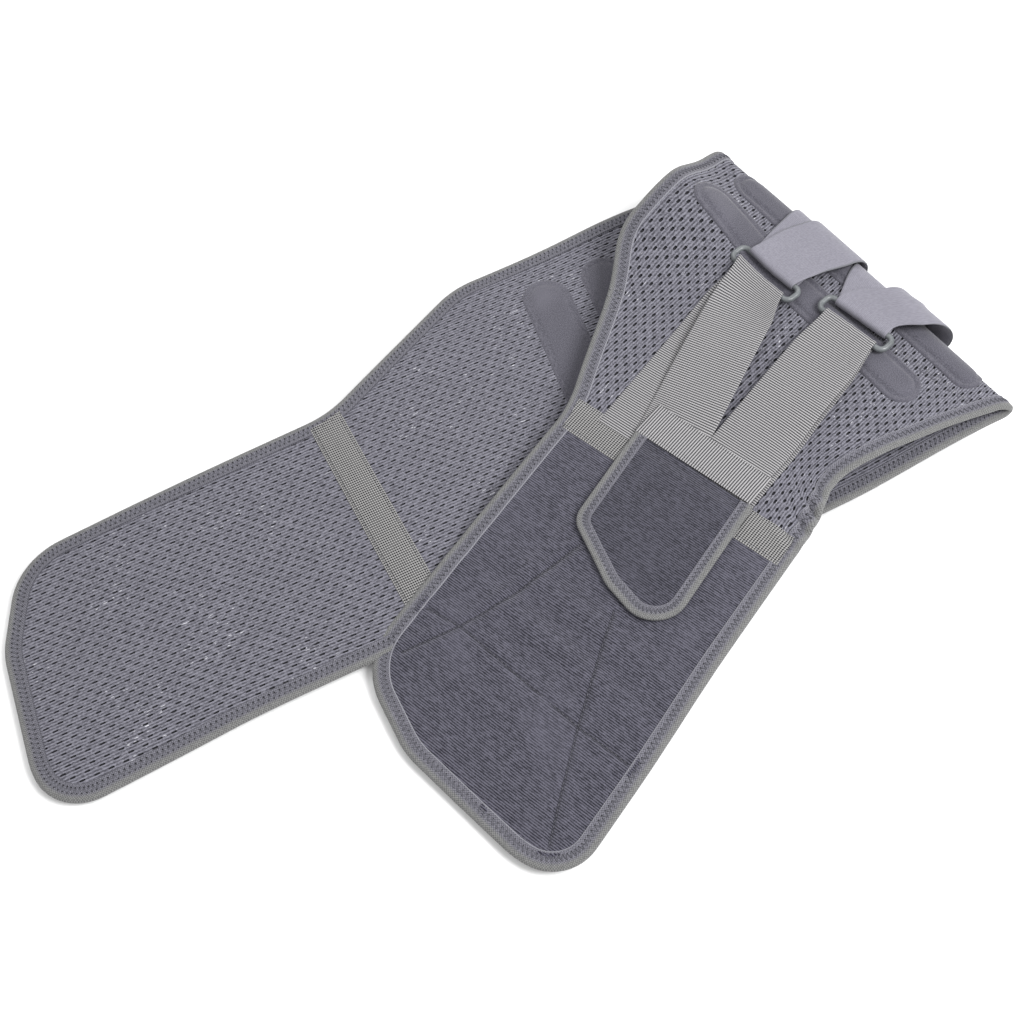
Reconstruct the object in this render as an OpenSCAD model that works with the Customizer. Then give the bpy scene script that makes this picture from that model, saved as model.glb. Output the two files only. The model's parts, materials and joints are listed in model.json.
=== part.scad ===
// Lumbar support belt, folded once across the back: the lower half lies with its
// inner face up, the upper half lies over it with its outer face up.
// Belt coordinates: u runs from the belt's centre line to a front end, v runs up the
// wearer's back, h is the distance outwards from the middle of the cloth.

/* [Belt pattern] */
// Height of the back panel's top edge above the pattern's zero line
back_top = 122; // [110:1:130]
// Height of the back panel's bottom edge below the zero line
back_bottom = 166; // [150:1:175]
// Height of the front flap's top edge above the zero line
flap_top = 58; // [50:1:64]
// Height of the front flap's bottom edge below the zero line, at its root
flap_bottom = 119; // [112:1:125]
// Distance from the centre line to the front end
half_length = 553; // [530:1:570]
// Distance from the centre line to the seam between back panel and front flap
seam_u = 304; // [300:1:308]
// Width of the webbing strip sewn over that seam
seam_strip_w = 24; // [20:1:26]

/* [Cloth] */
// Thickness of the belt's cloth
cloth_t = 3.6; // [3:0.2:4]
// Thickness of the velour on the outer face of a front flap
velour_t = 1.4; // [1:0.1:1.6]
// Width of the binding tape seen from one face
binding_w = 10; // [8:1:12]
// Height that the binding stands proud of each face
binding_proud = 0.4; // [0.2:0.1:0.6]

/* [Fold] */
// Radius of the fold, to the middle of the cloth
fold_r = 12; // [11:0.5:13]
// Angle between the fold and the belt's centre line
fold_skew = 9; // [6:0.5:11]
// Height of the lower half's cloth where the fold starts
fold_z = 14.15; // [14.15:0.02:16]
// Slope of the lower half
lower_slope = 1; // [0.8:0.1:1.2]
// Slope of the upper half
upper_slope = 3.4; // [3:0.1:3.5]
// Turn of the upper half's flap against its back panel, taken up by the crumple
flap_turn = 5.4; // [0:0.1:6]

/* [Pull system] */
// Width of the pull webbing and of the smooth elastic back straps
strap_w = 46; // [40:1:48]
// Thickness of the webbing and straps
strap_t = 0.9; // [0.7:0.1:1]
// Diameter of a ring's rod
rod_d = 4; // [3.6:0.2:4]
// Length of a ring, outside
ring_len = 58; // [54:1:60]
// Width of a ring, outside
ring_w = 17; // [16:1:20]
// How far a slack back strap stands off the fold
strap_slack = 5; // [3:1:8]
// Thickness of a pull tab's velour face
tab_face_t = 1.4; // [1.2:0.1:1.6]
// Thickness of the hook pad under a pull tab
tab_hook_t = 1.1; // [0.8:0.1:1.2]

/* [Stays] */
// Width of a stay
stay_w = 12; // [8:1:14]
// Thickness of a stay
stay_t = 1; // [0.8:0.1:1.1]
// Width of a stay pocket
pocket_w = 28; // [24:1:30]

/* [Hidden] */
$fn = 48;

mesh_colour = [0.46, 0.45, 0.50];
velour_colour = [0.31, 0.31, 0.36];
pocket_colour = [0.40, 0.39, 0.44];
binding_colour = [0.48, 0.48, 0.51];
webbing_colour = [0.66, 0.65, 0.66];
strap_colour = [0.60, 0.59, 0.63];
ring_colour = [0.52, 0.55, 0.56];
stay_colour = [0.85, 0.85, 0.82];

// where the part sits: its box's middle is over the origin
shift_x = 297.54;
shift_y = 21.03;
// the belt's pattern on the fold's own grid: s runs along the lower half to the fold at 0
centre_s = -57;
centre_y = 25;
bend_start = 215;
bend_end = 300;
bend_v = -35;

lower_side = -1;
upper_side = 1;
fold_turn = 180 + upper_slope - lower_slope;
fold_len = fold_r * fold_turn * PI / 180;
gap = 0.3;
touch = 0.02;
half_t = cloth_t / 2;
seam_strip_t = 0.8;
edge_inset = binding_w / 2;

// heights above the middle of the cloth, outwards
pocket_floor_h = half_t + stay_t + 0.3;
pocket_h = pocket_floor_h + 0.6;
under_h = pocket_h + 0.2;
rod_h = under_h + strap_t + gap + rod_d / 2;
over_h = rod_h + rod_d / 2 + gap;
low_strap_h = half_t + 0.1;
band_a_h = low_strap_h + strap_t + gap;
band_b_h = band_a_h + strap_t + 0.1;
band_h = band_b_h + strap_t + 0.05;
band_t = 0.8;
tab_h = half_t + seam_strip_t + gap;
tab_top_h = tab_h + tab_hook_t + tab_face_t + touch;

// rings: middle, and the turn of the long side against the v axis
ring_a = [141, 28];
ring_b = [133.5, -43];
ring_turns = [5.5, 1.5];
ring_mid = (ring_w - rod_d) / 2;
// the webbing is gathered a little where it goes through a ring
wrap_w = strap_w - 5;
ring_corner = 4.5;
// where the straps meet the pull band and the seam strip, as v at the middle
pull_end_a = -11.5;
pull_end_b = -53;
anchor_end_a = 13;
anchor_end_b = -57;
band_u = 267;
tab_u = 291.5;
strip_u = seam_u - seam_strip_w / 2;

// ---------- outlines ----------

function unit(v) = v / norm(v);
function wrap(a) = a > 180 ? a - 360 : a < -180 ? a + 360 : a;
// rounds the corner at p between a and b to radius r
function corner(a, p, b, r, n = 6) =
    r == 0 ? [p] :
    let (da = unit(a - p), db = unit(b - p), turn = acos(da * db),
         c = p + unit(da + db) * r / sin(turn / 2),
         s = p + da * r / tan(turn / 2) - c, e = p + db * r / tan(turn / 2) - c,
         a0 = atan2(s[1], s[0]), sweep = wrap(atan2(e[1], e[0]) - a0))
    [for (i = [0 : n]) c + r * [cos(a0 + sweep * i / n), sin(a0 + sweep * i / n)]];
// a closed outline from points [x, y, corner radius]
function rounded(pts, n = 6) = let (m = len(pts), p = [for (q = pts) [q[0], q[1]]])
    [for (i = [0 : m - 1])
        each corner(p[(i + m - 1) % m], p[i], p[(i + 1) % m], pts[i][2], n)];
// extra points on long straight runs, so that the outline can bend
function split_runs(pts, step = 30) = [for (i = [0 : len(pts) - 2])
    let (a = pts[i], b = pts[i + 1], n = max(1, ceil(norm(b - a) / step)))
    each [for (k = [0 : n - 1]) a + (b - a) * k / n], pts[len(pts) - 1]];
function side(a, b) = let (d = unit(b - a)) [-d[1], d[0]];
// a closed outline moved inwards by d (the outline runs clockwise)
function inset(pts, d) = let (m = len(pts)) [for (i = [0 : m - 1])
    let (p = pts[i], n1 = side(pts[(i + m - 1) % m], p), n2 = side(p, pts[(i + 1) % m]))
    p - unit(n1 + n2) * d / max(0.5, unit(n1 + n2) * n1)];

// one half of the belt, from the top of the centre line round to its bottom
half_outline = let (r = rounded([
    [0, back_top, 0], [178, back_top - 3, 70], [300, flap_top + 1, 80],
    [half_length - 34, flap_top - 9, 42], [half_length + 5, -62, 110],
    [half_length - 5, -flap_bottom - 15, 30], [204, -flap_bottom + 5, 80],
    [103, -back_bottom, 60], [0, -back_bottom, 0],
])) split_runs(r);

// turns the pattern about the crumple: nothing before it, flap_turn after it
function bent(p) = let (k = -flap_turn, run = bend_end - bend_start,
    t = max(0, min(1, (p[0] - bend_start) / run)), rho = run / (k * PI / 180),
    past = max(0, p[0] - bend_end))
    p[0] <= bend_start || flap_turn == 0 ? p :
    [bend_start + rho * sin(k * t) + past * cos(k) - (p[1] - bend_v) * sin(k * t),
     bend_v + rho * (1 - cos(k * t)) + past * sin(k) + (p[1] - bend_v) * cos(k * t)];

// belt coordinates, with u below 0 on the lower half, to the fold's grid
function on_grid(p) = [
    centre_s + p[0] * cos(fold_skew) + p[1] * sin(fold_skew),
    centre_y - p[0] * sin(fold_skew) + p[1] * cos(fold_skew)];

half_n = len(half_outline);
belt_outline = concat(
    [for (p = half_outline) on_grid(bent(p))],
    [for (i = [half_n - 2 : -1 : 1]) on_grid([-half_outline[i][0], half_outline[i][1]])]);

module belt_area(d = 0) { polygon(d == 0 ? belt_outline : inset(belt_outline, d)); }
module lower_area() { translate([-900, -600]) square([900, 1200]); }
module upper_area() { translate([fold_len, -600]) square([900, 1200]); }

// ---------- placing ----------

// flat drawings in the fold's grid, with z outwards, onto the sloping halves
module on_lower() {
    translate([shift_x, shift_y, fold_z]) rotate([0, -lower_slope, 0])
        mirror([0, 0, 1]) children();
}
fold_mid = [-fold_r * sin(lower_slope), fold_r * cos(lower_slope)];
module on_upper() {
    a = 90 + upper_slope;
    translate([shift_x + fold_mid[0] + fold_r * cos(a), shift_y,
               fold_z + fold_mid[1] + fold_r * sin(a)])
        rotate([0, -upper_slope, 0]) mirror([1, 0, 0]) translate([-fold_len, 0, 0])
        children();
}
module on_side(which) {
    if (which == lower_side) on_lower() children();
    else on_upper() children();
}
// drawings in belt coordinates
module in_belt(which) {
    on_side(which) translate([centre_s, centre_y, 0]) rotate([0, 0, -fold_skew])
        mirror([which == lower_side ? 1 : 0, 0, 0]) children();
}
// drawings beyond the crumple
module in_flap(which) {
    at = bent([bend_end, bend_v]);
    in_belt(which)
        if (which == lower_side) children();
        else translate([at[0], at[1], 0]) rotate([0, 0, -flap_turn])
            translate([-bend_end, -bend_v, 0]) children();
}
module flap_area_2d(which) {
    at = bent([bend_end, bend_v]);
    translate([centre_s, centre_y]) rotate(-fold_skew)
        mirror([which == lower_side ? 1 : 0, 0])
        if (which == lower_side) translate([seam_u, -400]) square([500, 800]);
        else translate(at) rotate(-flap_turn) translate([-bend_end, -bend_v])
            translate([seam_u, -400]) square([500, 800]);
}
module side_area_2d(which) {
    if (which == lower_side) lower_area();
    else upper_area();
}

// a point of the fold's grid at height h, as the cloth runs round the fold
function fold_point(s, y, h) =
    let (a = -90 + lower_slope + max(0, min(s, fold_len)) / fold_r * 180 / PI,
         past = s < 0 ? s : max(0, s - fold_len), r = fold_r + h)
    [shift_x + fold_mid[0] + r * cos(a) - past * sin(a), shift_y + y,
     fold_z + fold_mid[1] + r * sin(a) + past * cos(a)];

// a closed bar through a row of sections, each with its points along the bottom and then
// back along the top
module bar(sections) {
    n = len(sections);
    m = len(sections[0]);
    cap = [for (j = [0 : m / 2 - 2]) each [[j, j + 1, m - 2 - j], [j, m - 2 - j, m - 1 - j]]];
    polyhedron(
        points = [for (s = sections) each s],
        faces = concat(
            [for (f = cap) [f[2], f[1], f[0]]],
            [for (i = [0 : n - 2], k = [0 : m - 1], t = [0, 1])
                let (a = m * i + k, b = m * i + (k + 1) % m)
                t == 0 ? [a, b, b + m] : [a, b + m, a + m]],
            [for (f = cap) f + m * (n - 1) * [1, 1, 1]]),
        convexity = 6);
}

// ---------- cloth ----------

module back_mesh(which) {
    color(mesh_colour) on_side(which) translate([0, 0, -half_t])
        linear_extrude(cloth_t) difference() {
            intersection() { belt_area(edge_inset); side_area_2d(which); }
            flap_area_2d(which);
        }
}
module flap_layer(which, low, high) {
    on_side(which) translate([0, 0, low]) linear_extrude(high - low) intersection() {
        belt_area(edge_inset);
        flap_area_2d(which);
    }
}
module flap_mesh(which) {
    color(mesh_colour) flap_layer(which, -half_t, half_t - velour_t);
}
module flap_velour(which) {
    color(velour_colour) flap_layer(which, half_t - velour_t, half_t);
}
module binding(which) {
    t = half_t + binding_proud;
    color(binding_colour) on_side(which) translate([0, 0, -t]) linear_extrude(2 * t)
        intersection() {
            difference() { belt_area(); belt_area(edge_inset); }
            side_area_2d(which);
        }
}

// the outline's y where it crosses s, on its top or bottom edge
function cross_y(pts, s, top) = let (m = len(pts), found = [for (i = [0 : m - 1])
    let (a = pts[i], b = pts[(i + 1) % m])
    if ((a[0] <= s) != (b[0] <= s)) a[1] + (b[1] - a[1]) * (s - a[0]) / (b[0] - a[0])])
    top ? max(found) : min(found);
fold_steps = 14;
function fold_s(i) = touch + (fold_len - 2 * touch) * i / fold_steps;
inner_outline = inset(belt_outline, edge_inset);

module fold_cloth() {
    color(mesh_colour) bar([for (i = [0 : fold_steps])
        let (s = fold_s(i), lo = cross_y(inner_outline, s, false),
             hi = cross_y(inner_outline, s, true))
        [fold_point(s, lo, -half_t), fold_point(s, hi, -half_t),
         fold_point(s, hi, half_t), fold_point(s, lo, half_t)]]);
}
module fold_edge(top) {
    t = half_t + binding_proud;
    color(binding_colour) bar([for (i = [0 : fold_steps])
        let (s = fold_s(i), a = cross_y(inner_outline, s, top),
             b = cross_y(belt_outline, s, top), lo = min(a, b), hi = max(a, b))
        [fold_point(s, lo, -t), fold_point(s, hi, -t),
         fold_point(s, hi, t), fold_point(s, lo, t)]]);
}

module strip_area(w, margin) {
    translate([seam_u - w / 2, -flap_bottom + edge_inset + margin])
        square([w, flap_top + flap_bottom - 2 * edge_inset - 2 * margin]);
}
module outer_seam_strip(which) {
    color(webbing_colour) in_flap(which) translate([0, 0, half_t])
        linear_extrude(seam_strip_t) strip_area(seam_strip_w, 2);
}
module inner_seam_strip(which) {
    color(webbing_colour) in_flap(which) translate([0, 0, -half_t - seam_strip_t])
        linear_extrude(seam_strip_t) strip_area(seam_strip_w, 2);
}

// ---------- stays and their pockets ----------

// the line of each stay, and of the wider patch behind it, from its top end to its bottom end
side_stay_line = [[119, 88], [150, -93]];
centre_stay_line = [[83, 81], [111, -121]];
side_patch_line = [[124, 78], [150, -90]];
centre_patch_line = [[78, 76], [108, -118]];
patch_w = 34;

module along(line, d, h0, h1) {
    dir = line[1] - line[0];
    translate([line[0][0], line[0][1], h0])
        rotate([0, 0, atan2(dir[1], dir[0])])
        linear_extrude(h1 - h0) {
            translate([0, -d / 2]) square([norm(dir), d]);
            circle(d = d);
            translate([norm(dir), 0]) circle(d = d);
        }
}
module stay(which, line) {
    color(stay_colour) in_belt(which)
        along(line, stay_w, half_t + 0.1, half_t + 0.1 + stay_t);
}
module pocket(which, line) {
    color(pocket_colour) in_belt(which) difference() {
        along(line, pocket_w, half_t, pocket_h);
        along(line, stay_w + 2 * gap, half_t - 1, pocket_floor_h);
    }
}
module patch(which, line) {
    color(pocket_colour) in_belt(which) along(line, patch_w, -half_t - 0.7, -half_t);
}

// the upper half's centre stay lies where the back folds, so it and its cover follow the fold
module on_fold(line, d, h0, h1, n = 24, across = 10) {
    dir = unit(line[1] - line[0]);
    off = [-dir[1], dir[0]];
    r = d / 2;
    ends = [for (i = [1 : 8]) r * (1 - cos(90 * i / 8))];
    run = norm(line[1] - line[0]);
    stops = concat([for (e = ends) e - r], [for (i = [1 : n]) run * i / n],
                   [for (i = [6 : -1 : 0]) run + r - ends[i]]);
    bar([for (t = stops)
        let (out = max(0, -t, t - run), half = sqrt(max(1, r * r - out * out)),
             row = [for (w = [-across / 2 : across / 2])
                 on_grid(line[0] + dir * t + off * half * w * 2 / across)])
        concat([for (g = row) fold_point(g[0], g[1], h0)],
               [for (w = [across : -1 : 0]) fold_point(row[w][0], row[w][1], h1)])]);
}
fold_gap = 0.12;
module folded_stay(line) {
    color(stay_colour) on_fold(line, stay_w, half_t + fold_gap, half_t + stay_t);
}
module folded_pocket(line) {
    color(pocket_colour) difference() {
        on_fold(line, pocket_w, half_t + fold_gap, pocket_h);
        on_fold(line, stay_w + 2 * gap, half_t - 1, pocket_floor_h);
    }
}
module folded_patch(line) {
    color(pocket_colour) on_fold(line, patch_w, -half_t - 0.7, -half_t - fold_gap);
}

// the hook pad on the inner face of the upper flap, which closes the belt
module hook_pad() {
    color(velour_colour) in_flap(upper_side) translate([0, 0, -half_t - 1.2])
        linear_extrude(1.2) polygon(rounded([
            [392, 34, 8], [500, 34, 12], [532, -60, 12], [526, -106, 12],
            [470, -106, 8], [464, -40, 8], [392, -20, 8]]));
}

// ---------- rings and straps ----------

function ring_at(i) = i == 0 ? ring_a : ring_b;

module in_ring(which, i) {
    in_belt(which) translate([ring_at(i)[0], ring_at(i)[1], rod_h])
        rotate([0, 0, ring_turns[i]]) children();
}
module ring(which, i) {
    half_w = ring_w / 2 - rod_d / 2;
    half_l = ring_len / 2 - rod_d / 2;
    color(ring_colour) in_ring(which, i) {
        for (s = [-1, 1]) {
            translate([s * half_w, -half_l + ring_corner, 0]) rotate([-90, 0, 0])
                cylinder(d = rod_d, h = 2 * (half_l - ring_corner));
            translate([-half_w + ring_corner, s * half_l, 0]) rotate([0, 90, 0])
                cylinder(d = rod_d, h = 2 * (half_w - ring_corner));
        }
        for (c = [0 : 3])
            rotate([0, 0, 90 * c])
                translate([(c % 2 == 0 ? half_w : half_l) - ring_corner,
                           (c % 2 == 0 ? half_l : half_w) - ring_corner, 0])
                rotate_extrude(angle = 90) translate([ring_corner, 0])
                circle(d = rod_d);
    }
}

// a point of a flap, which on the upper half is turned past the crumple
function flap_point(which, u, v) = which == lower_side ? [u, v] :
    let (p = [u - bend_end, v - bend_v], c = cos(flap_turn), s = sin(flap_turn))
    bent([bend_end, bend_v]) + [c * p[0] + s * p[1], c * p[1] - s * p[0]];

// webbing from p, where it lies along a ring's bar, to q, where it lies along the flap's
// seam. Each row is [distance, h] on its inner side, the same on its outer side, and width.
module webbing(p, q, from_turn, to_turn, rows) {
    run = norm(q - p);
    dir = (q - p) / run;
    slant = atan2(dir[1], dir[0]);
    function corner_at(d, y, turn) = let (c = p + dir * (d[0] + y * tan(slant - turn))
        + [-dir[1], dir[0]] * y) [c[0], c[1], d[1]];
    bar([for (r = rows)
        let (t = max(0, min(1, r[0][0] / run)), turn = from_turn * (1 - t) + to_turn * t,
             y = r[2] / 2)
        [corner_at(r[0], -y, turn), corner_at(r[0], y, turn),
         corner_at(r[1], y, turn), corner_at(r[1], -y, turn)]]);
}
wrap_r = rod_d / 2 + 0.2;
function turn_at(which) = which == upper_side ? -flap_turn : 0;

// the fixed layer of the pull webbing, from under a ring to the seam strip
module anchor_strap(which, i) {
    p = ring_at(i) + [ring_mid, 0];
    q = flap_point(which, strip_u - touch, i == 0 ? anchor_end_a : anchor_end_b);
    run = norm(q - p);
    color(webbing_colour) in_belt(which) webbing(p, q, ring_turns[i], turn_at(which), [
        for (r = [[1, under_h, wrap_w], [34, under_h, strap_w], [70, low_strap_h, strap_w],
                  [run, low_strap_h, strap_w]])
            [[r[0], r[1]], [r[0], r[1] + strap_t], r[2]]]);
}
// the moving layer, from round the ring's front bar to under the pull band
module pull_strap(which, i) {
    p = ring_at(i) + [ring_mid, 0];
    q = flap_point(which, tab_u - gap, i == 0 ? pull_end_a : pull_end_b);
    run = norm(q - p);
    h_end = i == 0 ? band_a_h : band_b_h;
    inner = wrap_r;
    outer = wrap_r + strap_t;
    color(webbing_colour) in_belt(which) webbing(p, q, ring_turns[i], turn_at(which), concat(
        [for (a = [-60 : 15 : 90]) [[-inner * cos(a), rod_h + inner * sin(a)],
                                    [-outer * cos(a), rod_h + outer * sin(a)], wrap_w]],
        [for (r = [[20, rod_h + inner], [run - 26, h_end], [run, h_end]])
            [[r[0], r[1]], [r[0], r[1] + strap_t], strap_w]]));
}
module pull_band(which) {
    color(webbing_colour) in_flap(which) translate([band_u, -77, band_h])
        linear_extrude(band_t) square([tab_u - band_u, 88]);
}

// ---------- pull tab ----------

tab_outline = rounded([
    [tab_u + 0.5, 11, 0], [366, 3.5, 16], [390, -40, 40], [402, -87, 22],
    [372, -87, 0], [tab_u + 0.5, -80.5, 0]], 8);
module tab_area(d) { polygon(d == 0 ? tab_outline : inset(tab_outline, d)); }
tab_binding_w = 8;
module tab_layer(which, low, high, d) {
    in_flap(which) translate([0, 0, low]) linear_extrude(high - low) tab_area(d);
}
module tab_hook(which) {
    color(velour_colour) tab_layer(which, tab_h, tab_h + tab_hook_t, tab_binding_w);
}
module tab_face(which) {
    color(velour_colour)
        tab_layer(which, tab_h + tab_hook_t + touch, tab_top_h, tab_binding_w / 2);
}
module tab_binding(which) {
    color(binding_colour) in_flap(which) translate([0, 0, tab_h + 0.2])
        linear_extrude(tab_top_h + 0.1 - tab_h) difference() {
            tab_area(0);
            tab_area(tab_binding_w / 2);
        }
}

// ---------- smooth elastic straps across the back ----------

// share of a strap's way over the fold, as a bump that is 0 away from the fold
function fold_bump(s) = let (t = (s + 6) / (fold_len + 26))
    t <= 0 || t >= 1 ? 0 : pow(sin(180 * t), 2);
function ease(t, a, b) = let (x = max(0, min(1, (t - a) / (b - a)))) x * x * (3 - 2 * x);

// a strap from the lower half's ring i at t = 0 to the upper half's ring j at t = 1,
// h0 and h1 above the cloth at its ends, h_mid between, and slack and lean at the fold
module smooth_strap(i, j, h0, h_mid, h1, slack, lean = 0, n = 62, across = 4) {
    p = [-ring_at(i)[0] + ring_mid, ring_at(i)[1]];
    q = [ring_at(j)[0] - ring_mid, ring_at(j)[1]];
    dir = unit(q - p);
    color(strap_colour) bar([for (k = [0 : n])
        let (t = k / n, s = on_grid(p + (q - p) * t)[0],
             c = p + (q - p) * t - [0, lean * fold_bump(s)],
             e = t < 0.5 ? ease(t, 0.02, 0.22) : ease(t, 0.78, 0.98),
             h = t < 0.5 ? h0 + (h_mid - h0) * e : h_mid + (h1 - h_mid) * e,
             row = [for (w = [0 : across])
                 on_grid(c + [-dir[1], dir[0]] * strap_w * (w / across - 0.5))])
        concat([for (g = row) fold_point(g[0], g[1], h + slack * fold_bump(g[0]))],
               [for (w = [across : -1 : 0]) fold_point(row[w][0], row[w][1],
                   h + slack * fold_bump(row[w][0]) + strap_t)])]);
}
layer_step = strap_t + 0.35;
// how far the outermost straps slip down the back where they pass the fold
cross_lean = 5;
back_lean = 20;

// ---------- nodes ----------

back_mesh(lower_side);  // lower_back_mesh
back_mesh(upper_side);  // upper_back_mesh
fold_cloth();  // fold_mesh
fold_edge(true);  // fold_top_binding
fold_edge(false);  // fold_bottom_binding
flap_mesh(lower_side);  // lower_flap_mesh
flap_mesh(upper_side);  // upper_flap_mesh
flap_velour(lower_side);  // lower_flap_velour
flap_velour(upper_side);  // upper_flap_velour
binding(lower_side);  // lower_binding
binding(upper_side);  // upper_binding
outer_seam_strip(lower_side);  // lower_outer_seam_strip
outer_seam_strip(upper_side);  // upper_outer_seam_strip
inner_seam_strip(lower_side);  // lower_inner_seam_strip
inner_seam_strip(upper_side);  // upper_inner_seam_strip
stay(lower_side, centre_stay_line);  // lower_centre_stay
stay(lower_side, side_stay_line);  // lower_side_stay
folded_stay(centre_stay_line);  // upper_centre_stay
stay(upper_side, side_stay_line);  // upper_side_stay
pocket(lower_side, centre_stay_line);  // lower_centre_pocket
pocket(lower_side, side_stay_line);  // lower_side_pocket
folded_pocket(centre_stay_line);  // upper_centre_pocket
pocket(upper_side, side_stay_line);  // upper_side_pocket
patch(lower_side, centre_patch_line);  // lower_centre_patch
patch(lower_side, side_patch_line);  // lower_side_patch
folded_patch(centre_patch_line);  // upper_centre_patch
patch(upper_side, side_patch_line);  // upper_side_patch
hook_pad();  // closure_hook_pad
ring(lower_side, 0);  // lower_ring_a
ring(lower_side, 1);  // lower_ring_b
ring(upper_side, 0);  // upper_ring_a
ring(upper_side, 1);  // upper_ring_b
anchor_strap(lower_side, 0);  // lower_anchor_strap_a
anchor_strap(lower_side, 1);  // lower_anchor_strap_b
anchor_strap(upper_side, 0);  // upper_anchor_strap_a
anchor_strap(upper_side, 1);  // upper_anchor_strap_b
pull_strap(lower_side, 0);  // lower_pull_strap_a
pull_strap(lower_side, 1);  // lower_pull_strap_b
pull_strap(upper_side, 0);  // upper_pull_strap_a
pull_strap(upper_side, 1);  // upper_pull_strap_b
pull_band(lower_side);  // lower_pull_band
pull_band(upper_side);  // upper_pull_band
tab_face(lower_side);  // lower_tab_face
tab_face(upper_side);  // upper_tab_face
tab_hook(lower_side);  // lower_tab_hook_pad
tab_hook(upper_side);  // upper_tab_hook_pad
tab_binding(lower_side);  // lower_tab_binding
tab_binding(upper_side);  // upper_tab_binding
smooth_strap(0, 0, over_h, under_h + layer_step, under_h, 1);  // back_strap_a
smooth_strap(1, 1, under_h, under_h + layer_step, over_h, strap_slack, back_lean);  // back_strap_b
smooth_strap(1, 0, over_h, under_h + 2 * layer_step, over_h, 2, cross_lean);  // cross_strap_a
smooth_strap(0, 1, under_h, under_h, under_h, 1);  // cross_strap_b
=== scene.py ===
"""Visual model of a lumbar support belt, folded once across the back, around its CAD frame.

Cloth pieces are drawn on the belt's flat pattern in millimetres: u runs from the belt's middle to
a front end and is below 0 on the lower half, v runs up the wearer's back, and h is the distance
outwards from the middle of the cloth. on_cloth() lays them round the fold.
"""
import json
import math
import bpy
import numpy as np
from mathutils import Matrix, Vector


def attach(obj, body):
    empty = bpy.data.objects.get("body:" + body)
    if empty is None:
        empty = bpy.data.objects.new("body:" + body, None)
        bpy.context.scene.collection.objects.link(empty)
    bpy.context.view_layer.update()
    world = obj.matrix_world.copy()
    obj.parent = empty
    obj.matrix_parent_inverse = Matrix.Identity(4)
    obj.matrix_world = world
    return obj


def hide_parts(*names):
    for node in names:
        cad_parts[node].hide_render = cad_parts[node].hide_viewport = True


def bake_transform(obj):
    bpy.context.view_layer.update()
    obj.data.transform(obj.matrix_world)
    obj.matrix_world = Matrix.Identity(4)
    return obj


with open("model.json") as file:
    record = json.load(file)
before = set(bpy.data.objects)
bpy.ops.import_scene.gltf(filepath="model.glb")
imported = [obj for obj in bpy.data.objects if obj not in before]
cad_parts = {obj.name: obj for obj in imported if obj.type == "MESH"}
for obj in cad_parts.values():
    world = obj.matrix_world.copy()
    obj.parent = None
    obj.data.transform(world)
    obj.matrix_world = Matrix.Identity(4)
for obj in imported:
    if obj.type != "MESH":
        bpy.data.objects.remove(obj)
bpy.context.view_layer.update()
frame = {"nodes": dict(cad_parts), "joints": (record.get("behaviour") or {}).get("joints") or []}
joints = {j["name"]: j for j in frame["joints"]}

MM = 0.001

# ---------- the belt's pattern, in mm, as in the part ----------

BACK_TOP, BACK_BOTTOM = 122, 166
FLAP_TOP, FLAP_BOTTOM = 58, 119
# how far the flap's lower corner hangs below FLAP_BOTTOM
FLAP_DROP = 14
HALF_LENGTH = 553
SEAM_U = 304
SEAM_STRIP_W = 24
HALF_T = 1.8
VELOUR_T = 1.4
BINDING_W = 11
EDGE_H = HALF_T + 0.45
FOLD_R = 12
# the fold is less deep across than it is high
FOLD_DEPTH = 0.78
FOLD_SKEW = math.radians(9)
LOWER_SLOPE = math.radians(1)
UPPER_SLOPE = math.radians(3.4)
FLAP_TURN = math.radians(5.4)
FOLD_LEN = FOLD_R * (math.pi + UPPER_SLOPE - LOWER_SLOPE)
FOLD_X = joints["back_fold"]["pos_m"][0] * 1000
FOLD_Z = joints["back_fold"]["pos_m"][2] * 1000
# the pattern's middle, across and along the fold
CENTRE_S, CENTRE_Y = -57, 46.03
# the stretch of the upper half where its flap turns, and the height it turns about
BEND_START, BEND_END, BEND_V = 215, 300, -35

# heights above the middle of the cloth, outwards
POCKET_H = 3.7
ROD_R = 2
ROD_H = 7.1
UNDER_H = 4.35
BAR_GAP = 0.3
BAND_H = 5.45
TAB_H = 2.9
TAB_TOP_H = 5.42

STRAP_W = 46
WEBBING_T = 0.9
OVER_H = ROD_H + ROD_R + BAR_GAP + WEBBING_T / 2
# middles of the webbing and the elastic where they turn round a bar
WEBBING_TURN_R, ELASTIC_TURN_R = 2.5, 2.65
RIB = 1.75
ELASTIC_T = 1.2
RING_AT = {"a": (141, 28), "b": (133.5, -43)}
RING_TURN = {"a": 5.5, "b": 1.5}
RING_MID = 6.5
PULL_END = {"a": -11.5, "b": -53}
ANCHOR_END = {"a": 13, "b": -57}
BAND_U, TAB_U = 267, 291.5
BAND_BOTTOM, BAND_TOP = -77.5, 11.5
# the lines of the stays, and of the wider patches behind them, from top to bottom
STAYS = {"centre": ((83, 81), (111, -121)), "side": ((119, 88), (150, -93))}
PATCHES = {"centre": ((78, 76), (108, -118)), "side": ((124, 78), (150, -90))}
POCKET_W, PATCH_W, STAY_W = 28, 34, 12
# the mesh cloth's slots, in staggered rows along the belt; length and width on each face
SLOT_PITCH, ROW_PITCH = 8.8, 4.2
SLOT_SIZE = {1: (3.6, 1.75), -1: (3.9, 1.35)}
SLOT_DEPTH = 1.15
FOLD_FROM, FOLD_TO = 3 * SLOT_PITCH, 15 * SLOT_PITCH
LOWER, UPPER = -1, 1
SIDE_NAME = {LOWER: "lower", UPPER: "upper"}


def smooth(x, low, high):
    """0 below low, 1 above high, and an even S between them."""
    t = np.clip((x - low) / (high - low), 0, 1)
    return t * t * (3 - 2 * t)


def bump(x, middle, width):
    return np.exp(-(((x - middle) / width) ** 2))


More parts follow.
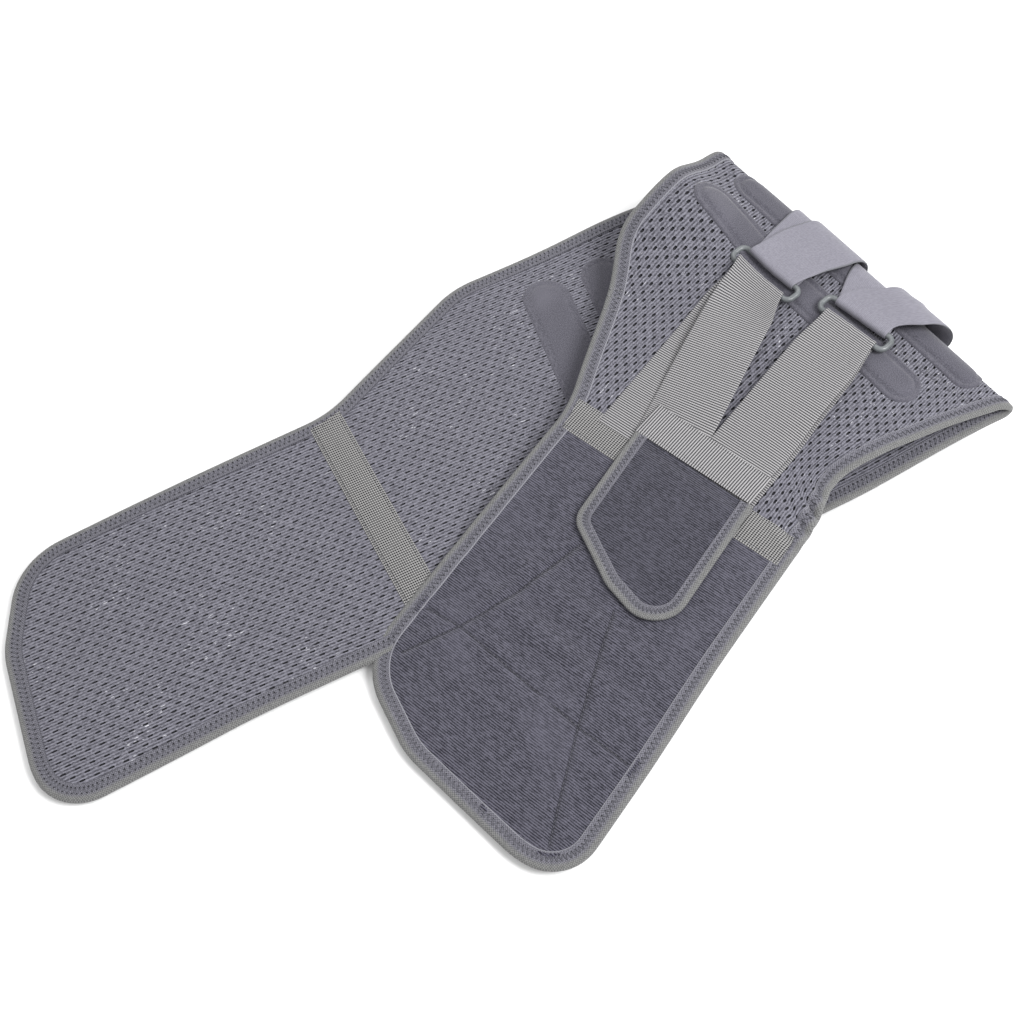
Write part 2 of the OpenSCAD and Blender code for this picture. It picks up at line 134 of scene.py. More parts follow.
def pulled(u, v):
    """How far the cloth's edges are pulled up or down the back, off the flat pattern."""
    far = np.abs(u)
    crest = 11 * smooth(v, 62, 122) * smooth(u, 40, 84) * (1 - smooth(u, 165, 250))
    top = 4 * smooth(v, 60, 122) * bump(u, -50, 50)
    pinch = 7.5 * smooth(-v, 95, 160) * (1 - smooth(far, 150, 230))
    valley = 8 * smooth(-v, 60, 115) * bump(u, 237, 26)
    lower_flap = 5.5 * smooth(-v, 10, 120) * smooth(-u, 320, 440)
    upper_flap = -2 * smooth(-v, 10, 120) * smooth(u, 380, 480)
    return crest + top + pinch + valley + lower_flap + upper_flap


def plane(u, v):
    """Pattern to the flat plane that is folded: the upper half's flap is turned at the crumple."""
    u, v = np.broadcast_arrays(np.asarray(u, float), np.asarray(v, float))
    v = v + pulled(u, v)
    run = BEND_END - BEND_START
    rho = -run / FLAP_TURN
    turn = -FLAP_TURN * np.clip((u - BEND_START) / run, 0, 1)
    past = np.maximum(u - BEND_END, 0)
    a = BEND_START + rho * np.sin(turn) + past * np.cos(turn) - (v - BEND_V) * np.sin(turn)
    b = BEND_V + rho * (1 - np.cos(turn)) + past * np.sin(turn) + (v - BEND_V) * np.cos(turn)
    return np.where(u <= BEND_START, u, a), np.where(u <= BEND_START, v, b)


def fold_grid(a, b):
    """The plane to s, across the fold, and y, along it. The fold runs from s = 0 to FOLD_LEN."""
    s = CENTRE_S + a * math.cos(FOLD_SKEW) + b * math.sin(FOLD_SKEW)
    return s, CENTRE_Y - a * math.sin(FOLD_SKEW) + b * math.cos(FOLD_SKEW)


def upper_drape(a, b):
    """How far the upper half's cloth is above its CAD plane."""
    crest = 19 * bump(a, 128, 52) * smooth(b, 22, 118)
    tip = -7 * smooth(a, 330, 545)
    valley = -5.5 * bump(a, 238, 22) * bump(b, -96, 22)
    near = np.exp(-((a - 262) ** 2 + (b + 122) ** 2) / 22**2)
    crumple = 2.4 * near * np.cos((a + 0.5 * b) * 0.5)
    ripple = 0.9 * np.sin(a / 34 + b / 51) * smooth(a, 320, 400) * np.cos(b / 29)
    folds = 1.1 * np.sin(a / 4.6) * bump(a, 428, 34) * bump(b, -50, 70)
    return crest + tip + valley + crumple + ripple + folds


def lower_drape(a, b, s):
    """How far the lower half's cloth is off its CAD plane: its edges sink a little."""
    height = FOLD_Z - FOLD_R + s * math.sin(LOWER_SLOPE)
    edge = np.maximum(smooth(b, 66, 116), smooth(-b, 96, 150)) * smooth(-s, 20, 140)
    front = smooth(-a, 430, 540)
    down = np.maximum(height - 3.2, 0) * (1 - (1 - 0.3 * edge) * (1 - 0.6 * front))
    wave = (0.8 + 0.8 * np.sin(a / 41 - b / 37)) * smooth(-a, 190, 300)
    return wave - down


def draped(a, b):
    """The middle of the cloth, in mm, as it lies."""
    s, y = fold_grid(a, b)
    angle = LOWER_SLOPE - math.pi / 2 + np.clip(s, 0, FOLD_LEN) / FOLD_R
    past = np.where(s < 0, s, np.maximum(0, s - FOLD_LEN))
    x = FOLD_X + FOLD_DEPTH * FOLD_R * np.cos(angle) - past * np.sin(angle)
    z = FOLD_Z + FOLD_R * np.sin(angle) + past * np.cos(angle)
    on_top = smooth(s, FOLD_LEN - 6, FOLD_LEN + 50)
    below = smooth(-s, 0, 30)
    z = z + on_top * upper_drape(a, b) + below * lower_drape(a, b, s)
    # the fold is pressed flat towards the belt's bottom edge
    flat = 0.6 * smooth(-b, 50, 150) * (1 - smooth(np.abs(s - FOLD_LEN / 2), 20, 130))
    z = z + flat * (FOLD_Z + 7 - z)
    return np.stack([x, y, z], -1)


def on_cloth(a, b, h):
    """Points at height h above the draped cloth."""
    a, b, h = np.broadcast_arrays(*(np.asarray(x, float) for x in (a, b, h)))
    step = 0.5
    up = draped(a, b + step) - draped(a, b - step)
    along = draped(a + step, b) - draped(a - step, b)
    normal = np.cross(up, along)
    normal /= np.linalg.norm(normal, axis=-1, keepdims=True)
    return draped(a, b) + normal * h[..., None]


# ---------- outlines ----------


def rounded(points, n=12):
    """A closed outline from points (x, y, corner radius)."""
    xy = np.array([p[:2] for p in points], float)
    out = []
    for i, (_, _, radius) in enumerate(points):
        corner = xy[i]
        if radius == 0:
            out.append(corner)
            continue
        da = xy[i - 1] - corner
        db = xy[(i + 1) % len(points)] - corner
        da /= np.linalg.norm(da)
        db /= np.linalg.norm(db)
        half = math.acos(da @ db) / 2
        centre = corner + (da + db) / np.linalg.norm(da + db) * radius / math.sin(half)
        start = corner + da * radius / math.tan(half) - centre
        end = corner + db * radius / math.tan(half) - centre
        first = math.atan2(start[1], start[0])
        sweep = (math.atan2(end[1], end[0]) - first + math.pi) % (2 * math.pi) - math.pi
        for k in range(n + 1):
            turn = first + sweep * k / n
            out.append(centre + radius * np.array([math.cos(turn), math.sin(turn)]))
    return np.array(out)


def evenly(points, step, closed=True):
    """The same line with points about step apart."""
    p = np.vstack([points, points[:1]]) if closed else points
    length = np.concatenate([[0], np.cumsum(np.linalg.norm(np.diff(p, axis=0), axis=1))])
    n = max(2, round(length[-1] / step))
    at = np.linspace(0, length[-1], n + 1)
    line = np.stack([np.interp(at, length, p[:, k]) for k in (0, 1)], 1)
    return line[:-1] if closed else line


half_outline = rounded([
    (0, BACK_TOP, 0), (178, BACK_TOP - 3, 70), (300, FLAP_TOP + 1, 80),
    (HALF_LENGTH - 35, FLAP_TOP - 10, 48), (HALF_LENGTH - 8, -12, 60), (HALF_LENGTH, -98, 60),
    (HALF_LENGTH - 5, -FLAP_BOTTOM - FLAP_DROP, 30), (204, -FLAP_BOTTOM + 5, 80),
    (103, -BACK_BOTTOM, 60), (0, -BACK_BOTTOM, 0),
])
belt_outline = np.vstack([half_outline, half_outline[-2:0:-1] * (-1, 1)])
tab_outline = rounded([
    (TAB_U + 0.5, 11, 0), (366, 3.5, 16), (390, -40, 40), (402, -87, 22),
    (372, -87, 0), (TAB_U + 0.5, -80.5, 0),
])
hook_outline = rounded([
    (392, 34, 8), (500, 34, 12), (532, -60, 12), (526, -106, 12),
    (470, -106, 8), (464, -40, 8), (392, -20, 8),
])


def path_frame(path, closed):
    """Inward unit vectors of a clockwise path."""
    if closed:
        along = np.roll(path, -1, axis=0) - np.roll(path, 1, axis=0)
    else:
        along = np.gradient(path, axis=0)
    along /= np.linalg.norm(along, axis=1, keepdims=True)
    return np.stack([along[:, 1], -along[:, 0]], 1)


def shrunk(outline, inset):
    """An outline moved inwards."""
    path = evenly(outline, 2.0)
    return path + path_frame(path, True) * inset


def edge_distance(u, v, outline):
    """How far points are inside an outline; below 0 outside."""
    shape = u.shape
    p = np.stack([u.ravel(), v.ravel()], 1)
    best = np.full(len(p), 1e9)
    inside = np.zeros(len(p), bool)
    for i in range(len(outline)):
        c, d = outline[i], outline[(i + 1) % len(outline)]
        run = d - c
        t = np.clip(((p - c) @ run) / max(run @ run, 1e-9), 0, 1)
        best = np.minimum(best, np.linalg.norm(p - c - t[:, None] * run, axis=1))
        crosses = (c[1] > p[:, 1]) != (d[1] > p[:, 1])
        if c[1] != d[1]:
            inside ^= crosses & (p[:, 0] < run[0] * (p[:, 1] - c[1]) / run[1] + c[0])
    return np.where(inside, best, -best).reshape(shape)


def column_range(outline, u):
    """The lowest and highest v of an outline at each u."""
    low = np.full(len(u), 1e9)
    high = np.full(len(u), -1e9)
    for i in range(len(outline)):
        c, d = outline[i], outline[(i + 1) % len(outline)]
        if c[0] == d[0]:
            continue
        t = (u - c[0]) / (d[0] - c[0])
        hit = (t >= 0) & (t <= 1)
        v = c[1] + (d[1] - c[1]) * t
        low = np.where(hit, np.minimum(low, v), low)
        high = np.where(hit, np.maximum(high, v), high)
    return low, high


# ---------- meshes ----------


def turn_outwards(mesh):
    """Flips a closed mesh whose faces look inwards."""
    mesh.calc_loop_triangles()
    corners = np.zeros(len(mesh.loop_triangles) * 3, np.int32)
    mesh.loop_triangles.foreach_get("vertices", corners)
    points = np.zeros(len(mesh.vertices) * 3, np.float32)
    mesh.vertices.foreach_get("co", points)
    a, b, c = points.reshape(-1, 3)[corners].reshape(-1, 3, 3).transpose(1, 0, 2)
    if np.sum(a * np.cross(b, c)) < 0:
        mesh.flip_normals()


def piece(name, points, faces, pattern, material, sharp=None):
    """A Blender object from points in mm. pattern holds each point's place on its own cloth."""
    mesh = bpy.data.meshes.new(name)
    mesh.from_pydata((np.asarray(points) * MM).tolist(), [], faces)
    mesh.validate()
    attribute = mesh.attributes.new("pattern", "FLOAT_VECTOR", "POINT")
    attribute.data.foreach_set("vector", np.asarray(pattern, np.float32).ravel())
    mesh.polygons.foreach_set("use_smooth", np.ones(len(mesh.polygons), bool))
    turn_outwards(mesh)
    if sharp is not None:
        ends = np.zeros(len(mesh.edges) * 2, np.int32)
        mesh.edges.foreach_get("vertices", ends)
        both = sharp[ends].reshape(-1, 2).all(axis=1)
        mesh.edges.foreach_set("use_edge_sharp", both)
    mesh.materials.append(material)
    mesh.update()
    obj = bpy.data.objects.new(name, mesh)
    bpy.context.scene.collection.objects.link(obj)
    return obj


def quads(rows, columns, first=0, flip=False):
    """Faces of a grid of points in row order."""
    i, j = np.meshgrid(np.arange(rows - 1), np.arange(columns - 1), indexing="ij")
    k = (first + i * columns + j).ravel()
    f = np.stack([k, k + 1, k + columns + 1, k + columns], 1)
    return f[:, ::-1].tolist() if flip else f.tolist()


def rim_of(rows, columns):
    """Which points of a slab lie on its rim."""
    rim = np.zeros((rows, columns), bool)
    rim[[0, -1], :] = True
    rim[:, [0, -1]] = True
    return np.tile(rim.ravel(), 2)


def slab_faces(rows, columns):
    """Faces of a closed slab whose top grid comes first and whose bottom grid follows."""
    n = rows * columns
    top = np.arange(n).reshape(rows, columns)
    rim = np.concatenate([top[0, :-1], top[:-1, -1], top[-1, :0:-1], top[:0:-1, 0]])
    nxt = np.roll(rim, -1)
    sides = np.stack([rim, rim + n, nxt + n, nxt], 1).tolist()
    return quads(rows, columns) + quads(rows, columns, n, True) + sides


def slab(name, a, b, top, bottom, material, pattern=None):
    """A closed piece over a grid of places on the plane, between two heights."""
    rows, columns = a.shape
    top, bottom = np.broadcast_to(top, a.shape), np.broadcast_to(bottom, a.shape)
    points = np.vstack([on_cloth(a, b, top).reshape(-1, 3), on_cloth(a, b, bottom).reshape(-1, 3)])
    if pattern is None:
        pattern = (a, b)
    marks = [np.stack([pattern[0], pattern[1], h], -1).reshape(-1, 3) for h in (top, bottom)]
    rim = rim_of(rows, columns)
    return piece(name, points, slab_faces(rows, columns), np.vstack(marks), material, rim)


def area_grid(outline, inset, step_u, rows_v):
    """A grid of pattern places that fills an outline less its rim, column by column."""
    inner = shrunk(outline, inset)
    low_u, high_u = inner[:, 0].min() + 0.05, inner[:, 0].max() - 0.05
    u = np.linspace(low_u, high_u, max(3, round((high_u - low_u) / step_u)))
    low, high = column_range(inner, u)
    middle = (low + high) / 2
    low, high = np.minimum(low, middle - 0.5), np.maximum(high, middle + 0.5)
    t = np.linspace(0, 1, rows_v)[None, :]
    return np.repeat(u[:, None], rows_v, 1), low[:, None] * (1 - t) + high[:, None] * t


def fold_blend(obj, a, b):
    """Bakes a piece's transform into its mesh: a and b, its points' places on the plane, are not
    used.
    """
    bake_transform(obj)


# ---------- materials ----------


class Shader:
    """A material's node graph, with the place on the cloth in mm as its coordinates."""

    def __init__(self, name, roughness=0.9, sheen=0.0, specular=0.25):
        self.material = bpy.data.materials.new(name)
        self.material.use_nodes = True
        self.tree = self.material.node_tree
        self.shader = self.tree.nodes["Principled BSDF"]
        self.shader.inputs["Roughness"].default_value = roughness
        self.shader.inputs["Specular IOR Level"].default_value = specular
        self.shader.inputs["Sheen Weight"].default_value = sheen
        self.shader.inputs["Sheen Roughness"].default_value = 0.5
        place = self.tree.nodes.new("ShaderNodeAttribute")
        place.attribute_name = "pattern"
        self.place = place.outputs["Vector"]
        split = self.tree.nodes.new("ShaderNodeSeparateXYZ")
        self.link(self.place, split.inputs[0])
        self.u, self.v, self.h = split.outputs

    def link(self, output, target):
        self.tree.links.new(output, target)

    def put(self, value, target):
        if isinstance(value, bpy.types.NodeSocket):
            self.link(value, target)
        else:
            target.default_value = value

    def math(self, operation, x, y=0.0, z=0.0):
        node = self.tree.nodes.new("ShaderNodeMath")
        node.operation = operation
        for value, target in zip((x, y, z), node.inputs):
            self.put(value, target)
        return node.outputs[0]

    def wave(self, x, period, phase=0.0):
        """From -1 to 1 and back once in a period."""
        turn = self.math("MULTIPLY_ADD", x, 2 * math.pi / period, phase)
        return self.math("SINE", turn)

    def ramp(self, x, low, high, to_low=0.0, to_high=1.0):
        node = self.tree.nodes.new("ShaderNodeMapRange")
        node.interpolation_type = "SMOOTHSTEP"
        for value, target in zip((x, low, high, to_low, to_high), node.inputs):
            self.put(value, target)
        return node.outputs[0]

    def noise(self, scale, detail=2.0, stretch=(1, 1, 1)):
        """Noise with features about 1/scale mm wide, stretched along u, v or h."""
        node = self.tree.nodes.new("ShaderNodeTexNoise")
        node.inputs["Scale"].default_value = scale
        node.inputs["Detail"].default_value = detail
        scaled = self.tree.nodes.new("ShaderNodeVectorMath")
        scaled.operation = "MULTIPLY"
        self.link(self.place, scaled.inputs[0])
        scaled.inputs[1].default_value = stretch
        self.link(scaled.outputs[0], node.inputs["Vector"])
        return node.outputs["Fac"]

    def mix(self, share, first, second):
        node = self.tree.nodes.new("ShaderNodeMix")
        node.data_type = "RGBA"
        self.put(share, node.inputs["Factor"])
        for value, name in ((first, "A"), (second, "B")):
            target = [i for i in node.inputs if i.name == name and i.type == "RGBA"][0]
            self.put(value if isinstance(value, bpy.types.NodeSocket) else (*value, 1), target)
        return [o for o in node.outputs if o.type == "RGBA"][0]

    def finish(self, colour, height=None, strength=0.5, distance=0.3):
        self.link(colour, self.shader.inputs["Base Color"])
        if height is not None:
            node = self.tree.nodes.new("ShaderNodeBump")
            node.inputs["Strength"].default_value = strength
            node.inputs["Distance"].default_value = distance * MM
            self.link(height, node.inputs["Height"])
            self.link(node.outputs[0], self.shader.inputs["Normal"])
        return self.material


def mesh_material():
    """Knitted spacer mesh: fine wales along u, painted glints, and painted shade inside its slots.
    """
    m = Shader("mesh", roughness=0.8, sheen=0.15)
    # the wales' troughs run through the rows of slots
    wales = m.wave(m.v, ROW_PITCH / 2, -math.pi / 2)
    yarn = m.noise(1.5, 3.0, (0.5, 1, 0.2))
    tone = m.math("MULTIPLY_ADD", wales, 0.22, m.math("MULTIPLY_ADD", yarn, 1.5, -0.25))
    face = m.mix(m.ramp(tone, 0.1, 0.95), (0.040, 0.039, 0.050), (0.205, 0.202, 0.240))
    # painted glints: pale streaks that stand in for light off the shiny threads
    glint = m.ramp(m.noise(1.1, 1.0, (0.22, 1, 0.2)), 0.70, 0.76)
    glint = m.math("MULTIPLY", glint, m.ramp(m.noise(0.02, 2.0), 0.5, 0.6, 0.0, 0.8))
    face = m.mix(glint, face, (0.62, 0.62, 0.66))
    # h counts from the cloth's middle, so a slot's floor lies nearer to 0
    # painted shade: the colour goes near black towards a slot's floor
    deep = m.ramp(m.math("ABSOLUTE", m.h), 1.0, 1.72, 1.0, 0.0)
    colour = m.mix(deep, face, (0.012, 0.012, 0.016))
    height = m.math("ADD", m.math("MULTIPLY", wales, 0.5), yarn)
    return m.finish(colour, height, 0.6, 0.4)


def velour_material(name="velour", base=(0.010, 0.010, 0.016), light=(0.105, 0.102, 0.132),
                    ribbed=True):
    """Loop velour, in fine ribs across the flap."""
    m = Shader(name, roughness=0.95, sheen=0.35, specular=0.12)
    fuzz = m.noise(1.6, 4.0)
    patches = m.noise(0.018, 3.0)
    if ribbed:
        rib = m.wave(m.u, 1.45)
        breaks = m.noise(0.8, 2.0, (1, 0.35, 1))
        tone = m.math("ADD", m.math("MULTIPLY", rib, 0.28), m.math("ADD", fuzz, breaks))
        share = m.ramp(tone, 0.60, 1.40)
        height = m.math("ADD", m.math("MULTIPLY", rib, 0.5), fuzz)
    else:
        share = m.ramp(fuzz, 0.3, 0.75)
        height = fuzz
    colour = m.mix(share, base, light)
    lighter = tuple(c * 1.22 for c in light)
    colour = m.mix(m.ramp(patches, 0.5, 0.85, 0.0, 0.4), colour, lighter)
    if ribbed:
        # h falls where the flap is sewn through, and there the colour goes near black: painted
        # shade in the sewn grooves
        colour = m.mix(m.ramp(m.h, 1.0, 1.65, 0.75, 0.0), colour, (0.010, 0.010, 0.014))
    return m.finish(colour, height, 0.6, 0.4)


def binding_material():
    """Woven binding tape: pattern u runs along the tape and v across it."""
    m = Shader("binding", roughness=0.85, sheen=0.2)
    weave = m.math("MULTIPLY", m.wave(m.u, 1.6), m.wave(m.v, 1.6))
    fuzz = m.noise(1.2, 3.0)
    tone = m.math("MULTIPLY_ADD", weave, 0.34, fuzz)
    inner = m.mix(m.ramp(tone, 0.15, 0.85), (0.056, 0.055, 0.067), (0.172, 0.169, 0.198))
    # painted highlight: the tape's rolled outer edge gets a lighter, less blue colour than the
    # rest
    lit_rolled_edge = m.mix(m.ramp(tone, 0.15, 0.85), (0.080, 0.080, 0.080), (0.196, 0.196, 0.194))
    colour = m.mix(m.ramp(m.v, 2.0, 5.0), lit_rolled_edge, inner)
    # the tape's inner edge: a pale thread outside, and painted shade for the gap on the inner face
    edge = m.ramp(m.v, BINDING_W - 0.75, BINDING_W - 0.45, 0.0, 0.45)
    line = m.mix(m.ramp(m.h, -0.5, 0.5), (0.010, 0.010, 0.016), (0.34, 0.34, 0.37))
    colour = m.mix(edge, colour, line)
    return m.finish(colour, tone, 0.6, 0.4)


def webbing_material(name, base, rib_shade, grid):
    """Ribbed elastic webbing: ribs across its length, which is pattern u, with painted shade
    between the ribs.
    """
    m = Shader(name, roughness=0.8, sheen=0.1)
    across = m.wave(m.u, RIB, math.pi / 2)
    offset = m.math("MULTIPLY", m.math("ROUND", m.math("MULTIPLY", m.v, 1 / 1.5)), math.pi / 2)
    small = m.wave(m.math("ADD", m.v, offset), 1.5)
    fuzz = m.noise(2.0, 2.0)
    tone = m.math("ADD", m.math("MULTIPLY", across, 0.6), m.math("MULTIPLY", small, grid))
    tone = m.math("ADD", tone, m.math("MULTIPLY", fuzz, 0.3))
    # painted shade: the troughs between the ribs go dark
    colour = m.mix(m.ramp(tone, -0.42, 0.62), rib_shade, base)
    return m.finish(colour, tone, 0.8, 0.5)


def elastic_material():
    """Smooth knitted elastic with faint lengthwise wales and darker selvedges."""
    m = Shader("elastic", roughness=0.75, sheen=0.2)
    wales = m.wave(m.v, 1.1)
    fuzz = m.noise(1.5, 3.0, (0.4, 1, 1))
    tone = m.math("ADD", m.math("MULTIPLY", wales, 0.12), fuzz)
    colour = m.mix(m.ramp(tone, 0.25, 0.8), (0.160, 0.156, 0.186), (0.222, 0.216, 0.252))
    edge = m.ramp(m.math("ABSOLUTE", m.v), STRAP_W / 2 - 1.6, STRAP_W / 2 - 0.3)
    colour = m.mix(m.math("MULTIPLY", edge, 0.65), colour, (0.09, 0.095, 0.10))
    return m.finish(colour, tone, 0.35, 0.25)


def hook_material():
    """Moulded hook tape: rows of small dark hooks."""
    m = Shader("hook", roughness=0.5, specular=0.4)
    hooks = m.math("MULTIPLY", m.wave(m.u, 1.6), m.wave(m.v, 1.6))
    colour = m.mix(m.ramp(hooks, -0.3, 0.7), (0.035, 0.035, 0.042), (0.11, 0.11, 0.125))
    return m.finish(colour, hooks, 1.0, 0.8)


def plastic_material(name, base, light, roughness):
    """Satin moulded plastic with faint flow marks. It reads the place in the frame."""
    m = Shader(name, roughness=roughness, specular=0.5)
    node = m.tree.nodes.new("ShaderNodeTexNoise")
    node.inputs["Scale"].default_value = 160
    place = m.tree.nodes.new("ShaderNodeTexCoord")
    m.link(place.outputs["Object"], node.inputs["Vector"])
    colour = m.mix(m.ramp(node.outputs["Fac"], 0.3, 0.7), base, light)
    return m.finish(colour, node.outputs["Fac"], 0.1, 0.2)


def thread_material(name, dark, light):
    """Sewing thread, with painted shade where it dips into the cloth. Pattern h is its height
    above that.
    """
    m = Shader(name, roughness=0.7)
    colour = m.mix(m.ramp(m.noise(1.0, 2.0), 0.3, 0.7), dark, light)
    # painted shade: near black where the thread goes into the cloth
    colour = m.mix(m.ramp(m.h, -0.15, 0.15), (0.008, 0.008, 0.010), colour)
    return m.finish(colour)


MESH = mesh_material()
VELOUR = velour_material()
TAB_VELOUR = velour_material("tab_velour", (0.008, 0.008, 0.013), (0.078, 0.076, 0.100))
POCKET = velour_material("pocket", (0.046, 0.045, 0.058), (0.125, 0.121, 0.146), False)
BINDING = binding_material()
# each webbing's second colour is painted shade for the troughs between its ribs
WEBBING = webbing_material("webbing", (0.365, 0.358, 0.365), (0.034, 0.034, 0.038), 0.12)
STRIP = webbing_material("strip_webbing", (0.330, 0.325, 0.322), (0.010, 0.010, 0.012), 0.5)
ELASTIC = elastic_material()
HOOK = hook_material()
RING = plastic_material("ring", (0.105, 0.113, 0.119), (0.145, 0.155, 0.162), 0.35)
STAY = plastic_material("stay", (0.70, 0.70, 0.67), (0.78, 0.78, 0.75), 0.45)
DARK_THREAD = thread_material("dark_thread", (0.095, 0.094, 0.110), (0.130, 0.129, 0.150))
GREY_THREAD = thread_material("grey_thread", (0.20, 0.20, 0.215), (0.30, 0.30, 0.32))

# ---------- perforated cloth ----------

CELL_RIM = np.array([(-0.5, -0.5), (0, -0.5), (0.5, -0.5), (0.5, 0.5), (0, 0.5), (-0.5, 0.5)])
SLOT_RIM = np.array([(-0.36, -0.5), (0.36, -0.5), (0.5, 0), (0.36, 0.5), (-0.36, 0.5), (-0.5, 0)])
CELL_FACES = [(0, 1, 7, 6), (1, 2, 7), (2, 3, 8, 7), (3, 9, 8), (3, 4, 10, 9), (4, 5, 10),
              (5, 0, 11, 10), (0, 6, 11)]


def cell_places(low_u, high_u, keep):
    """Middles of the cloth's cells, in staggered rows, whose corners all pass keep(u, v)."""
    rows = np.arange(-45, 35)
    middles = []
    for row in rows:
        k = np.arange(-80, 80)
        u = (k + 0.5 * (row % 2)) * SLOT_PITCH
        v = np.full(len(u), row * ROW_PITCH)
        middles.append(np.stack([u, v], 1))
    m = np.vstack(middles)
    m = m[(m[:, 0] >= low_u - 1e-6) & (m[:, 0] <= high_u + 1e-6)]
    corners = m[:, None, :] + CELL_RIM[None] * (SLOT_PITCH, ROW_PITCH)
    good = keep(corners[..., 0], corners[..., 1]).all(axis=1)
    return m[good]


def cell_sheet(middles, height, slots, out):
    """Points, faces and slot-rim marks of one face of the cloth. out is 1 or -1."""
    corners = middles[:, None, :] + CELL_RIM[None] * (SLOT_PITCH, ROW_PITCH)
    keys = np.round(corners.reshape(-1, 2) * 10).astype(int)
    unique, index = np.unique(keys, axis=0, return_inverse=True)
    index = index.reshape(len(middles), 6)
    rim_uv = unique / 10.0
    n_rim, n = len(rim_uv), len(middles)
    parts = [np.column_stack([rim_uv, np.full(n_rim, height * out)])]
    faces = []
    order = 1 if out > 0 else -1
    if slots:
        slot = (middles[:, None, :] + SLOT_RIM[None] * SLOT_SIZE[out]).reshape(-1, 2)
        parts.append(np.column_stack([slot, np.full(6 * n, height * out)]))
        parts.append(np.column_stack([slot, np.full(6 * n, (height - SLOT_DEPTH) * out)]))
        top = n_rim + np.arange(6 * n).reshape(n, 6)
        deep = top + 6 * n
        table = np.hstack([index, top])
        for face in CELL_FACES:
            faces += table[:, face][:, ::order].tolist()
        for k in range(6):
            j = (k + 1) % 6
            wall = np.stack([top[:, k], top[:, j], deep[:, j], deep[:, k]], 1)
            faces += wall[:, ::order].tolist()
        faces += deep[:, ::order].tolist()
    else:
        faces += index[:, ::order].tolist()
    points = np.vstack(parts)
    sharp = np.zeros(len(points), bool)
    if slots:
        sharp[n_rim:n_rim + 6 * n] = True
    return points, faces, sharp, index


def perforated(name, middles, inner, outer, outer_slots):
    """A padded cloth with slots in its inner face, and in its outer one if outer_slots."""
    points_o, faces_o, sharp_o, index = cell_sheet(middles, outer, outer_slots, 1)
    points_i, faces_i, sharp_i, _ = cell_sheet(middles, inner, True, -1)
    shift = len(points_o)
    faces = [f[::-1] for f in faces_o] + [[k + shift for k in f[::-1]] for f in faces_i]
    ring = np.stack([index, np.roll(index, -1, axis=1)], -1).reshape(-1, 2)
    keys = {(a, b) for a, b in ring.tolist()}
    for a, b in keys:
        if (b, a) not in keys:
            faces.append([a, b, b + shift, a + shift])
    points = np.vstack([points_o, points_i])
    a, b = plane(points[:, 0], points[:, 1])
    placed = on_cloth(a, b, points[:, 2])
    sharp = np.concatenate([sharp_o, sharp_i])
    obj = piece(name, placed, faces, points, MESH, sharp)
    return obj, a, b


def make_cloth():
    def in_belt(u, v):
        return edge_distance(u, v, belt_outline) > 1.5

    seam = round(SEAM_U / SLOT_PITCH) * SLOT_PITCH
    parts = {"lower_back_cloth": (-seam, FOLD_FROM, "lower_back_mesh"),
             "fold_cloth": (FOLD_FROM, FOLD_TO, "fold_mesh"),
             "upper_back_cloth": (FOLD_TO, seam, "upper_back_mesh")}
    for name, (low, high, node) in parts.items():
        last = high + 0.01 if high == seam else high - 0.01
        cloth, a, b = perforated(name, cell_places(low, last, in_belt), HALF_T, HALF_T, True)
        if name == "fold_cloth":
            fold_blend(cloth, a, b)
        else:
            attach(cloth, "lower_wing" if low < 0 else "upper_wing")
        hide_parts(node)
    for side in (LOWER, UPPER):
        low, high = sorted((side * (seam + SLOT_PITCH / 2), side * HALF_LENGTH))
        name = SIDE_NAME[side]
        middles = cell_places(low, high, in_belt)
        flap, _, _ = perforated(f"{name}_flap_cloth", middles, HALF_T, HALF_T - VELOUR_T, False)
        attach(flap, f"{name}_wing")
        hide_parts(f"{name}_flap_mesh")


# ---------- velour, with its sewn lines ----------

SEWN_LINES = [
    [(377, -10), (430, 2), (464, 14), (498, 31)],
    [(467, 38), (464, 12), (468, -40), (471, -80), (471, -116)],
    [(400, -54), (436, -67), (472, -81), (504, -95), (536, -110)],
]


def line_distance(u, v, line):
    best = np.full(u.shape, 1e9)
    for c, d in zip(line[:-1], line[1:]):
        c, d = np.array(c, float), np.array(d, float)
        run = d - c
        t = np.clip(((u - c[0]) * run[0] + (v - c[1]) * run[1]) / (run @ run), 0, 1)
        best = np.minimum(best, np.hypot(u - c[0] - t * run[0], v - c[1] - t * run[1]))
    return best


def make_velour():
    flap = half_outline.copy()
    flap = np.vstack([flap[flap[:, 0] > SEAM_U], [[SEAM_U, -FLAP_BOTTOM], [SEAM_U, FLAP_TOP]]])
    for side in (LOWER, UPPER):
        u, v = area_grid(flap, 4.0, 1.3, 160)
        nearest = np.minimum.reduce([line_distance(u, v, line) for line in SEWN_LINES])
        dip = -0.8 * bump(nearest, 0, 1.3)
        pillow = 0.45 * bump(nearest, 5, 3.5)
        crease = 0.5 * bump(v + 0.16 * (u - 420), -48, 3.5) * smooth(u, 395, 430)
        crease = crease + 0.45 * bump(v - 0.10 * (u - 420), 8, 3) * smooth(-u, -470, -400)
        top = HALF_T + dip + pillow + crease
        a, b = plane(side * u, v)
        name = SIDE_NAME[side]
        obj = slab(f"{name}_flap_velour_face", a, b, top, HALF_T - VELOUR_T, VELOUR, (u, v))
        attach(obj, f"{name}_wing")
        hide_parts(f"{name}_flap_velour")


# ---------- binding tape and thread ----------


